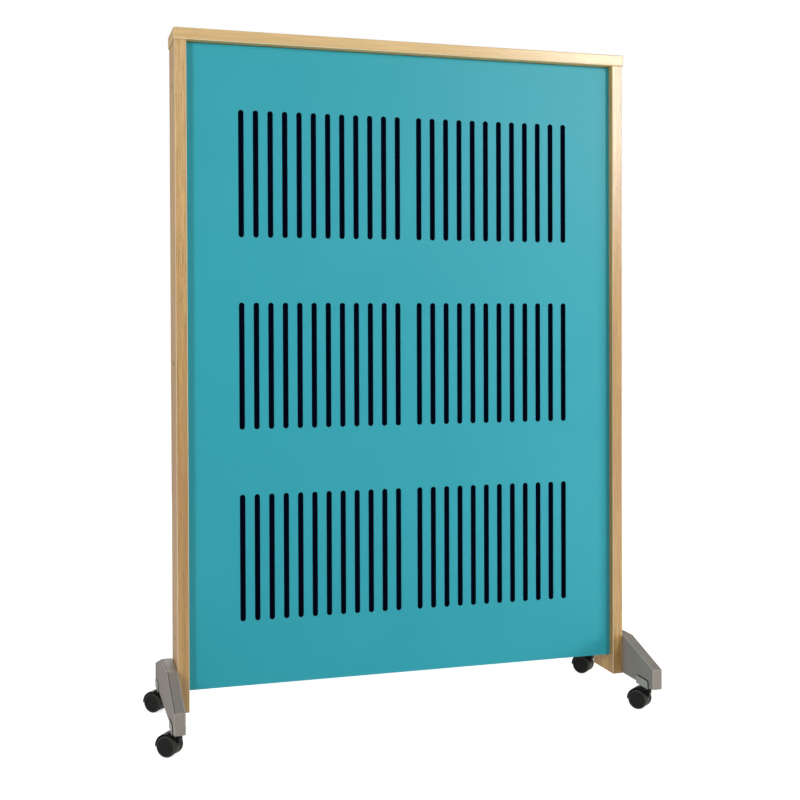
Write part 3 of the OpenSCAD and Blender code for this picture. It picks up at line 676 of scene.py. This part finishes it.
EDGING = 2 * MM
upright_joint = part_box("left_side_board")[1][1] - EDGING
level_joint = rail_high[1] - EDGING
beech_upright = beech_board("beech_foil_upright", 2, upright_joint, 0.0)
beech_level = beech_board("beech_foil_level", 0, level_joint, 0.45)
print("edging joints at", round(upright_joint, 4), round(level_joint, 4))

# %% [markdown]
# ### Turquoise lacquer
#
# Fibreboard is sanded, primed and sprayed. Sprayed lacquer levels out with a faint ripple,
# which painters call orange peel, and its gloss is satin. Where an arris is rolled, the film
# pulls thin and looks a little lighter. The mark "arris" on the panel's points says where.
#
# The slots' walls are mixed to near-black as painted shade, so that the slots look black over
# their whole width, also where their walls show. The mark "wall" says where.

# %% Turquoise lacquer
LACQUER = {"deep": "#269DAD", "light": "#30A4B3", "speck": "#2193A2", "thin": "#5FB6C1",
           "black": "#010A1E"}
CLOUD, SPECK, PEEL = 140, 2.2, 5  # millimetres


def turquoise_lacquer():
    """Satin sprayed lacquer on fibreboard."""
    material, tree = new_finish("satin_lacquer_turquoise")
    cloud = add(tree, "ShaderNodeTexNoise", {"Vector": steps_of(tree, CLOUD), "Detail": 2.0})
    speck = add(tree, "ShaderNodeTexNoise", {"Vector": steps_of(tree, SPECK), "Detail": 3.0})
    peel = add(tree, "ShaderNodeTexNoise", {"Vector": steps_of(tree, PEEL), "Detail": 1.0})
    specks = add(tree, "ShaderNodeMapRange", {"Value": speck, "From Min": 0.35, "From Max": 0.75,
                                              "To Min": 0.0, "To Max": 0.22})
    arris = add(tree, "ShaderNodeAttribute", out="Fac", attribute_name="arris")
    thin = add(tree, "ShaderNodeMath", {0: arris, 1: 0.3}, operation="MULTIPLY")
    # Painted shade: the slots' walls, marked "wall", are mixed to near-black.
    wall = add(tree, "ShaderNodeAttribute", out="Fac", attribute_name="wall")

    tone = add(tree, "ShaderNodeMix", {0: cloud, 6: LACQUER["deep"], 7: LACQUER["light"]},
               **COLOURS)
    for share, colour in ((specks, "speck"), (thin, "thin"), (wall, "black")):
        tone = add(tree, "ShaderNodeMix", {0: share, 6: tone, 7: LACQUER[colour]}, **COLOURS)
    gloss = add(tree, "ShaderNodeMapRange", {"Value": cloud, "To Min": 0.4, "To Max": 0.5})
    return finished(material, tone, gloss, {"IOR": 1.5, "Specular IOR Level": 0.32},
                    relief=(peel, 0.4, 0.03))


lacquer = turquoise_lacquer()
for panel in panels:
    panel.data.materials.append(lacquer)
print("lacquered:", [panel.name for panel in panels])

# %% [markdown]
# ### Black fleece
#
# The fleece behind the slots is a thin non-woven: black polyester fibres pressed flat in
# all directions. It lets sound through and hides the core. It is dull and very dark, with a
# cold blue cast. Two noises stretched across each other stand for the lying fibres, drawn
# four times as coarse as real ones.

# %% Black fleece
FIBRE_W, FIBRE_L = 0.6, 6  # millimetres


def black_fleece():
    """Non-woven polyester, pressed, with fibres lying both ways."""
    material, tree = new_finish("non_woven_fleece_black")
    lying = [add(tree, "ShaderNodeTexNoise", {"Vector": steps_of(tree, *steps), "Detail": 3.0,
                                              "Distortion": 0.8})
             for steps in ((FIBRE_L, FIBRE_L, FIBRE_W), (FIBRE_W, FIBRE_W, FIBRE_L))]
    fibres = add(tree, "ShaderNodeMath", {0: lying[0], 1: lying[1]}, operation="MAXIMUM")
    lit = add(tree, "ShaderNodeMapRange", {"Value": fibres, "From Min": 0.5, "From Max": 0.8})
    tone = add(tree, "ShaderNodeMix", {0: lit, 6: "#00051B", 7: "#010A2B"}, **COLOURS)
    return finished(material, tone, 0.95, {"Specular IOR Level": 0.06, "Sheen Weight": 0.02,
                                           "Sheen Roughness": 0.5}, relief=(fibres, 0.8, 0.15))


fleece = black_fleece()

# %% [markdown]
# ### Softwood of the inner frame
#
# The frame between the panels is planed spruce, left raw. Its yearly rings show as straight
# darker lines some millimetres apart. The Wave texture draws rings, and a little distortion
# bends them as growth does.

# %% Softwood
RING = {"width": 5, "length": 160}  # millimetres
RING_SCALE = 0.16  # one saw tooth of the Wave texture for each ring
SPRUCE_FIBRE = {"width": 0.9, "length": 40}


def planed_softwood(name, grain):
    """Raw planed spruce with its fibre along one axis, 0 or 2."""
    material, tree = new_finish(name)
    yearly = add(tree, "ShaderNodeTexWave",
                 {"Vector": along(tree, grain, **RING), "Scale": RING_SCALE,
                  "Distortion": 2.5, "Detail": 2.0},
                 out="Fac", wave_type="BANDS", bands_direction="DIAGONAL", wave_profile="SAW")
    fibre = add(tree, "ShaderNodeTexNoise", {"Vector": along(tree, grain, **SPRUCE_FIBRE),
                                             "Detail": 3.0})
    fibrous = add(tree, "ShaderNodeMath", {0: fibre, 1: 0.35}, operation="MULTIPLY")
    tone = add(tree, "ShaderNodeMix", {0: yearly, 6: "#D6B886", 7: "#BC935D"}, **COLOURS)
    tone = add(tree, "ShaderNodeMix", {0: fibrous, 6: tone, 7: "#A98350"}, **COLOURS)
    return finished(material, tone, 0.68, {"IOR": 1.5}, relief=(fibre, 0.5, 0.08))


softwood_level = planed_softwood("planed_spruce_level", 0)
softwood_upright = planed_softwood("planed_spruce_upright", 2)

# %% [markdown]
# ### Pressed felt
#
# The absorber slabs are pressed from torn textile fibre, so their grey is mottled with
# darker and lighter tufts, about 4 mm wide.

# %% Pressed felt
TUFT, TORN_FIBRE = 4, 1.2  # millimetres


def pressed_felt():
    """Mottled grey felt of torn fibre."""
    material, tree = new_finish("pressed_felt_grey")
    tufts = add(tree, "ShaderNodeTexVoronoi", {"Vector": steps_of(tree, TUFT)}, out="Distance",
                feature="SMOOTH_F1")
    fibres = add(tree, "ShaderNodeTexNoise", {"Vector": steps_of(tree, TORN_FIBRE),
                                              "Detail": 4.0, "Distortion": 1.5})
    mottle = add(tree, "ShaderNodeMath", {0: tufts, 1: fibres}, operation="MULTIPLY")
    tone = add(tree, "ShaderNodeMix", {0: mottle, 6: "#5C5952", 7: "#8E8A80"}, **COLOURS)
    return finished(material, tone, 0.97, {"Sheen Weight": 0.2, "Sheen Roughness": 0.6},
                    relief=(fibres, 0.9, 0.5))


felt = pressed_felt()

# %% [markdown]
# ### Zinc-plated and blackened steel
#
# The bolts of the feet and the hidden screws of the rail have a thin bright zinc layer. It
# shows a fine cloud of lighter and duller crystals, and handling leaves small scuffs, which
# vary the gloss more than the colour. The casters' stems and axles are blackened in a hot
# bath and oiled. The screws in the side boards get the same dark finish as painted shade
# for the shade round their heads, so that they show as dark dots. The dark oxide hardly
# shines, and turning marks run round it as fine changes in its gloss.

# %% Zinc-plated steel
CRYSTAL = 0.8  # millimetres
SCUFF_L, SCUFF_W = 3, 0.5


def zinc_plate():
    """Bright zinc plate on steel fasteners."""
    material, tree = new_finish("zinc_plated_steel")
    crystals = add(tree, "ShaderNodeTexVoronoi", {"Vector": steps_of(tree, CRYSTAL)}, out="Color")
    crystals = add(tree, "ShaderNodeSeparateColor", {0: crystals})
    scuffs = add(tree, "ShaderNodeTexNoise", {"Vector": steps_of(tree, SCUFF_L, SCUFF_L, SCUFF_W),
                                              "Detail": 4.0})
    tone = add(tree, "ShaderNodeMix", {0: crystals, 6: "#A9ABAC", 7: "#C3C5C4"}, **COLOURS)
    gloss = add(tree, "ShaderNodeMapRange", {"Value": scuffs, "To Min": 0.2, "To Max": 0.45})
    return finished(material, tone, gloss, {"Metallic": 1.0})


zinc = zinc_plate()

# %% Blackened steel
OIL_CLOUD = 4  # millimetres
TURNING_L, TURNING_W = 6, 0.5


def blackened_steel():
    """Turned steel with a black oxide skin, oiled."""
    material, tree = new_finish("blackened_steel")
    turning = add(tree, "ShaderNodeTexNoise",
                  {"Vector": steps_of(tree, TURNING_L, TURNING_L, TURNING_W), "Detail": 3.0})
    oil = add(tree, "ShaderNodeTexNoise", {"Vector": steps_of(tree, OIL_CLOUD), "Detail": 2.0})
    tone = add(tree, "ShaderNodeMix", {0: oil, 6: "#121213", 7: "#201F20"}, **COLOURS)
    gloss = add(tree, "ShaderNodeMapRange", {"Value": turning, "To Min": 0.5, "To Max": 0.7})
    return finished(material, tone, gloss, {"Metallic": 0.25, "Specular IOR Level": 0.2})


black_steel = blackened_steel()

# %% [markdown]
# ### Powder coat on die-cast feet
#
# The feet are die-cast aluminium with a silver-grey powder coat. Powder melts into a skin
# with a fine pebble, and its aluminium flakes glitter a little. So it stands between paint
# and metal: rough and soft, with single flakes lighter or darker than the rest. The
# flakes are drawn at 0.9 mm, far coarser than real ones, so that they show at all. On the
# arrises the coat is glossier, and a brighter painted highlight is laid along them.

# %% Powder coat
POWDER = {"dark": "#8B847C", "bright": "#9F978F", "cloud": "#87807A", "arris": "#C6C4C0"}
FLAKE, PEBBLE, POWDER_CLOUD = 0.9, 1.6, 45  # millimetres


def silver_powder_coat():
    """Silver-grey powder coat on cast aluminium."""
    material, tree = new_finish("powder_coat_silver_grey")
    flakes = add(tree, "ShaderNodeTexVoronoi", {"Vector": steps_of(tree, FLAKE)}, out="Color")
    flakes = add(tree, "ShaderNodeSeparateColor", {0: flakes})
    pebble = add(tree, "ShaderNodeTexNoise", {"Vector": steps_of(tree, PEBBLE), "Detail": 2.0})
    cloud = add(tree, "ShaderNodeTexNoise", {"Vector": steps_of(tree, POWDER_CLOUD),
                                             "Detail": 2.0})
    cloudy = add(tree, "ShaderNodeMapRange", {"Value": cloud, "From Min": 0.4, "From Max": 0.7,
                                              "To Min": 0.0, "To Max": 0.3})
    arris = on_arris(tree, {"X": (0.2, 0.96), "Y": (0.64, 0.97)})
    # Painted highlight: the arrises are mixed towards a bright grey and are glossier.
    painted_arris_highlight = add(tree, "ShaderNodeMath", {0: arris, 1: 0.55}, operation="MULTIPLY")

    tone = add(tree, "ShaderNodeMix", {0: flakes, 6: POWDER["dark"], 7: POWDER["bright"]},
               **COLOURS)
    for share, colour in ((cloudy, "cloud"), (painted_arris_highlight, "arris")):
        tone = add(tree, "ShaderNodeMix", {0: share, 6: tone, 7: POWDER[colour]}, **COLOURS)
    gloss = add(tree, "ShaderNodeMapRange", {"Value": pebble, "To Min": 0.6, "To Max": 0.75})
    gloss = add(tree, "ShaderNodeMix", {0: painted_arris_highlight, 2: gloss, 3: 0.35})
    return finished(material, tone, gloss, {"Specular IOR Level": 0.2}, relief=(pebble, 0.6, 0.08))


powder_coat = silver_powder_coat()

# %% [markdown]
# ### Moulded nylon
#
# Three parts are moulded: the pale grey sockets, the black hoods and the black wheels.
# A mould is eroded by sparks, which leaves an even fine grain on the part. Nylon is a
# little waxy, and its gloss is broken by that grain.
#
# The sockets' cheeks stand a little out of the feet. Round each cheek a dark line is
# painted: painted shade on the slit in the foot's wall and on the rim of the cheek.

# %% Grey nylon
INSIDE = 13.6  # millimetres from the sockets' middles
SPARK_GRAIN = 0.8
FLOW_W, FLOW_L = 18, 30


def grey_nylon(middle_x):
    """Pale grey moulded nylon with a fine spark grain and faint flow clouds.

    middle_x is where the sockets' middles stand. Nearer to it than INSIDE lie the slit in
    the foot's wall and the cheek's rim, which are painted dark as shade."""
    material, tree = new_finish("moulded_nylon_grey")
    grain = add(tree, "ShaderNodeTexNoise", {"Vector": steps_of(tree, SPARK_GRAIN),
                                             "Detail": 2.0})
    flow = add(tree, "ShaderNodeTexNoise", {"Vector": steps_of(tree, FLOW_W, FLOW_W, FLOW_L),
                                            "Detail": 1.0})
    across = add(tree, "ShaderNodeMath", {0: in_mm(tree)["X"]}, operation="ABSOLUTE")
    inside = add(tree, "ShaderNodeMath", {0: across, 1: middle_x / MM, 2: INSIDE},
                 operation="COMPARE")
    tone = add(tree, "ShaderNodeMix", {0: flow, 6: "#94948D", 7: "#A1A199"}, **COLOURS)
    # Painted shade: the slit and the cheeks' rims are mixed to near-black.
    tone = add(tree, "ShaderNodeMix", {0: inside, 6: tone, 7: "#1C1B19"}, **COLOURS)
    gloss = add(tree, "ShaderNodeMapRange", {"Value": grain, "To Min": 0.42, "To Max": 0.58})
    return finished(material, tone, gloss, {"IOR": 1.53}, relief=(grain, 0.4, 0.05))


socket_low, socket_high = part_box("fr_socket")
socket_nylon = grey_nylon((socket_low[0] + socket_high[0]) / 2)

# %% [markdown]
# On the hood the black turns paler and browner in patches, on faces that look up and near
# the floor.

# %% Black nylon of the hoods
PALE_PATCH = 7  # millimetres
PALER_FROM, PALER_FULL = 34.0, 22.0  # heights above the floor, in millimetres


def black_hood_nylon():
    """Black moulded nylon, paler and browner in patches on faces that look up and near the floor.
    """
    material, tree = new_finish("moulded_nylon_black_hood")
    grain = add(tree, "ShaderNodeTexNoise", {"Vector": steps_of(tree, SPARK_GRAIN),
                                             "Detail": 2.0})
    patches = add(tree, "ShaderNodeTexNoise", {"Vector": steps_of(tree, PALE_PATCH),
                                               "Detail": 3.0})
    normal = add(tree, "ShaderNodeNewGeometry", out="Normal")
    upward = add(tree, "ShaderNodeSeparateXYZ", {0: normal}, out="Z")
    lying = add(tree, "ShaderNodeMapRange", {"Value": upward, "From Min": 0.5, "From Max": 1.0,
                                             "To Min": 0.0, "To Max": 0.35})
    low = add(tree, "ShaderNodeMapRange", {"Value": in_mm(tree)["Z"], "From Min": PALER_FROM,
                                           "From Max": PALER_FULL, "To Min": 0.0, "To Max": 0.8})
    paler_patches = add(tree, "ShaderNodeMath", {0: lying, 1: low}, operation="MAXIMUM")
    paler_patches = add(tree, "ShaderNodeMath", {0: paler_patches, 1: patches}, operation="MULTIPLY")
    tone = add(tree, "ShaderNodeMix", {0: paler_patches, 6: "#070607", 7: "#544D47"}, **COLOURS)
    gloss = add(tree, "ShaderNodeMapRange", {"Value": grain, "To Min": 0.34, "To Max": 0.5})
    return finished(material, tone, gloss, {"IOR": 1.53, "Specular IOR Level": 0.07},
                    relief=(grain, 0.4, 0.05))


hood_nylon = black_hood_nylon()

# %% [markdown]
# On a wheel the dust is ground into the tread. The bead round the disc is glossier, and a
# lighter painted highlight lies on it. Both follow the marks that the wheels' points carry.

# %% Black nylon of the wheels
WHEEL_GRAIN, SCUFF = 0.9, 3  # millimetres


def black_wheel_nylon():
    """Black moulded nylon: satin on the disc, scuffed and dusty on the tread."""
    material, tree = new_finish("moulded_nylon_black_wheel")
    grain = add(tree, "ShaderNodeTexNoise", {"Vector": steps_of(tree, WHEEL_GRAIN),
                                             "Detail": 2.0})
    scuffs = add(tree, "ShaderNodeTexNoise", {"Vector": steps_of(tree, SCUFF), "Detail": 4.0})
    tread = add(tree, "ShaderNodeAttribute", out="Fac", attribute_name="tread")
    bead = add(tree, "ShaderNodeAttribute", out="Fac", attribute_name="bead")
    paler_patches = add(tree, "ShaderNodeMath", {0: tread, 1: scuffs}, operation="MULTIPLY")
    tone = add(tree, "ShaderNodeMix", {0: paler_patches, 6: "#151312", 7: "#4A463F"}, **COLOURS)
    # Painted highlight: the bead ring is mixed towards a lighter grey.
    tone = add(tree, "ShaderNodeMix", {0: bead, 6: tone, 7: "#454342"}, **COLOURS)
    gloss = add(tree, "ShaderNodeMapRange", {"Value": tread, "To Min": 0.42, "To Max": 0.7})
    gloss = add(tree, "ShaderNodeMix", {0: bead, 2: gloss, 3: 0.26})
    return finished(material, tone, gloss, {"IOR": 1.53, "Specular IOR Level": 0.13},
                    relief=(grain, 0.4, 0.05))


wheel_nylon = black_wheel_nylon()
for piece in bpy.data.objects:
    if piece.name.endswith("_moulded_wheel"):
        piece.data.materials.append(wheel_nylon)

# %% [markdown]
# ## Dress the CAD nodes
#
# Every node whose shape is right stays as it is and gets a finish. The record names a
# material slot for each node, so most finishes follow from it. Two woods also need to know
# which way the fibre runs, which is along the length of each board.

# %% Dress the CAD nodes
BY_SLOT = {"beech_board": beech_upright, "turquoise_lacquer": lacquer, "black_fleece": fleece,
           "softwood": softwood_upright, "absorber_felt": felt, "zinc_plated_steel": zinc,
           "blackened_steel": black_steel, "cast_grey_paint": powder_coat,
           "grey_nylon": socket_nylon, "black_nylon_hood": hood_nylon,
           "black_nylon_wheel": wheel_nylon}
LEVEL_GRAIN = {"cap_rail": beech_level, "frame_dowels": softwood_level}
LEVEL_GRAIN.update({name: softwood_level for name in nodes if name.endswith("_batten")})

for part in frame["record"]["subparts"]:
    name = part["node"]
    finish = LEVEL_GRAIN.get(name, BY_SLOT[part["material_slot"]])
    for material_slot in nodes[name].material_slots:
        material_slot.material = finish
print("dressed:", len(nodes), "nodes, of which", len(LEVEL_GRAIN), "with level grain")

# %% [markdown]
# ## Floor, lamps and background
#
# A product like this is photographed on white, between two tall narrow softboxes. The side
# boards stand proud of the panel, so each softbox lets one of them throw a clear dark strip
# on the panel's edge, as in the photograph. The right one also stands where the right board
# and the rail mirror it into the lens, which is why these look nearly white at the top. A
# weak one in front lights the upper part, and a low one stands for the light that a white
# floor throws back. The last one lights the back. The rest is even light from a white room,
# a little cold, as the shade in the photograph is.

# %% Softboxes
AIM = Vector((0, 0, 0.75))
LAMP_TINT = (1.0, 0.985, 0.96)
SOFTBOXES = {  # azimuth, distance and height of the stand, width and height of the lamp, watts
    "softbox_left": (-50, 3.4, 1.6, 0.55, 1.2, 44),
    "softbox_right": (34, 3.3, 2.0, 0.5, 1.1, 43),
    "softbox_top": (5, 3.0, 2.1, 1.3, 0.6, 5),
    "softbox_low": (58, 2.4, 0.3, 0.8, 0.4, 15),
    "softbox_back": (178, 3.6, 1.4, 1.6, 1.4, 70)}


def softbox(name, azimuth, distance, height, width, tall, watts):
    """An oblong area lamp aimed at the middle of the object; azimuth 0 is the front."""
    lamp = bpy.data.lights.new(name, "AREA")
    lamp.shape = "RECTANGLE"
    lamp.size, lamp.size_y = width, tall
    lamp.energy = watts
    lamp.color = LAMP_TINT
    stand = bpy.data.objects.new(name, lamp)
    bpy.context.scene.collection.objects.link(stand)
    angle = math.radians(azimuth)
    place = Vector((distance * math.sin(angle), -distance * math.cos(angle), height))
    stand.matrix_world = (Matrix.Translation(place)
                          @ (AIM - place).to_track_quat("-Z", "Y").to_matrix().to_4x4())
    stand.visible_camera = False


for name, numbers in SOFTBOXES.items():
    softbox(name, *numbers)
print("softboxes:", len(SOFTBOXES), "with", sum(v[-1] for v in SOFTBOXES.values()), "watts")

# %% [markdown]
# The background must be white without more light on the object. So the world is white only
# to rays from the camera and to rays that gloss or glass send out, and is dimmer as a lamp.
# The floor glows a little to the same rays, just enough to turn white where the lamps reach
# it, and it keeps the object's soft shadow.

# %% World
AMBIENT = 0.155
AMBIENT_TINT = (0.91, 0.97, 1.07, 1)
WHITE = (1, 1, 1, 1)


def seen_directly(tree):
    """1 for rays from the camera and for those that gloss or glass send out, else 0."""
    rays = add(tree, "ShaderNodeLightPath").node.outputs
    seen = add(tree, "ShaderNodeMath", {0: rays["Is Camera Ray"], 1: rays["Is Glossy Ray"]},
               operation="MAXIMUM")
    return add(tree, "ShaderNodeMath", {0: seen, 1: rays["Is Transmission Ray"]},
               operation="MAXIMUM")


world = bpy.data.worlds.new("white_room")
world.use_nodes = True
sky_tree = world.node_tree
sky_tree.nodes.clear()
seen = seen_directly(sky_tree)
strength = add(sky_tree, "ShaderNodeMapRange", {"Value": seen, "To Min": AMBIENT, "To Max": 1.0})
tint = add(sky_tree, "ShaderNodeMix", {0: seen, 6: AMBIENT_TINT, 7: WHITE}, **COLOURS)
sky = add(sky_tree, "ShaderNodeBackground", {"Color": tint, "Strength": strength})
add(sky_tree, "ShaderNodeOutputWorld", {"Surface": sky})
bpy.context.scene.world = world
print("ambient light:", AMBIENT)

# %% Floor
FLOOR_HALF = 12.0
GLOW_NEAR = 0.76
SHADOW_FADE = (1.0, 2.4)  # metres from the middle of the object


def floor_finish():
    """Pale matt floor; its glow rises to full white beyond the object's shadow."""
    material, tree = new_finish("pale_floor")
    place = add(tree, "ShaderNodeTexCoord", out="Object")
    away = add(tree, "ShaderNodeVectorMath", {0: place}, out="Value", operation="LENGTH")
    level = add(tree, "ShaderNodeMapRange", {"Value": away, "From Min": SHADOW_FADE[0],
                                             "From Max": SHADOW_FADE[1], "To Min": GLOW_NEAR,
                                             "To Max": 1.0})
    matt = add(tree, "ShaderNodeBsdfDiffuse", {"Color": "#E9E9E7"})
    glow = add(tree, "ShaderNodeEmission", {"Color": WHITE, "Strength": level})
    both = add(tree, "ShaderNodeAddShader", {0: matt, 1: glow})
    shader = add(tree, "ShaderNodeMixShader", {0: seen_directly(tree), 1: matt, 2: both})
    add(tree, "ShaderNodeOutputMaterial", {"Surface": shader})
    return material


floor_mesh = bpy.data.meshes.new("floor")
corner_x, corner_y = np.meshgrid([-FLOOR_HALF, FLOOR_HALF], [-FLOOR_HALF, FLOOR_HALF])
floor_points, floor_faces = grid(np.stack([corner_x, corner_y, np.zeros((2, 2))], -1))
floor_mesh.from_pydata(floor_points, [], floor_faces.tolist())
floor = bpy.data.objects.new("floor", floor_mesh)
floor_mesh.materials.append(floor_finish())
bpy.context.scene.collection.objects.link(floor)
bpy.context.scene.view_settings.view_transform = "Standard"
print("floor:", 2 * FLOOR_HALF, "metres wide")
